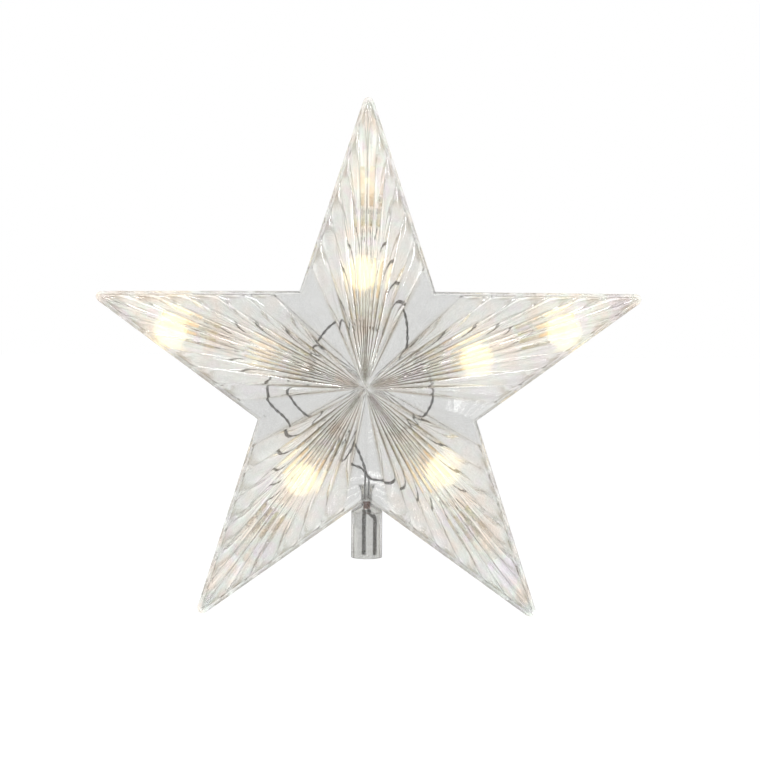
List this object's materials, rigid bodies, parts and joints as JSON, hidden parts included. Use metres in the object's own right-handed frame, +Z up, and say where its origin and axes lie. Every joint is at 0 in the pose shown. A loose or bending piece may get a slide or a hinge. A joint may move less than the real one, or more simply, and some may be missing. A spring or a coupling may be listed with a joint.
{
  "type": "lit star tree topper",
  "caption": "Clear fluted five-pointed star made of two half shells, with warm lamps on a captive string inside and a socket tube below that slips over a tree's leader.",
  "frame": {"origin": "centre of the socket tube's mouth, where the tree's leader goes in", "axes": "+Z up along the socket tube's axis to the star's top point; +X to the star's right-hand points as seen from the front; -Y is the front face"},
  "size_m": [0.222, 0.05, 0.2113],
  "materials": {
    "clear_plastic": "clear polished moulding",
    "clear_tube_plastic": "clear extruded tube, slightly grey",
    "brown_sleeve": "matt shrink sleeve",
    "warm_lamp": "lit warm white lamp",
    "holder_plastic": "pale see-through moulding, slightly warm",
    "wire_cover": "dark brown-grey wire cover"
  },
  "bodies": {
    "star_body": {"rear_shell": "clear_plastic", "socket_tube": "clear_tube_plastic", "holder_top_inner": "holder_plastic", "holder_top_outer": "holder_plastic", "holder_right_inner": "holder_plastic", "holder_right_outer": "holder_plastic", "holder_lower_right_inner": "holder_plastic", "holder_lower_right_outer": "holder_plastic", "holder_lower_left_inner": "holder_plastic", "holder_lower_left_outer": "holder_plastic", "holder_left_inner": "holder_plastic", "holder_left_outer": "holder_plastic", "lamp_top_inner": "warm_lamp", "lamp_top_outer": "warm_lamp", "lamp_right_inner": "warm_lamp", "lamp_right_outer": "warm_lamp", "lamp_lower_right_inner": "warm_lamp", "lamp_lower_right_outer": "warm_lamp", "lamp_lower_left_inner": "warm_lamp", "lamp_lower_left_outer": "warm_lamp", "lamp_left_inner": "warm_lamp", "lamp_left_outer": "warm_lamp", "wire_supply_to_lower_left": "wire_cover", "wire_lower_left_to_lower_right": "wire_cover", "wire_along_lower_right": "wire_cover", "wire_lower_right_to_right": "wire_cover", "wire_along_right": "wire_cover", "wire_right_to_top": "wire_cover", "wire_along_top": "wire_cover", "wire_top_to_left": "wire_cover", "wire_along_left": "wire_cover", "wire_left_to_lower_left_outer": "wire_cover", "wire_left_to_lower_left_inner": "wire_cover", "lead_left": "wire_cover", "lead_right": "wire_cover", "lead_sleeve": "brown_sleeve"},
    "front_cover": {"front_shell": "clear_plastic"}
  },
  "joints": [
    {"name": "front_shell_unclip", "type": "slide", "parent": "star_body", "child": "front_cover", "axis": [0, -1, 0], "range_m": [0, 0.06]}
  ]
}
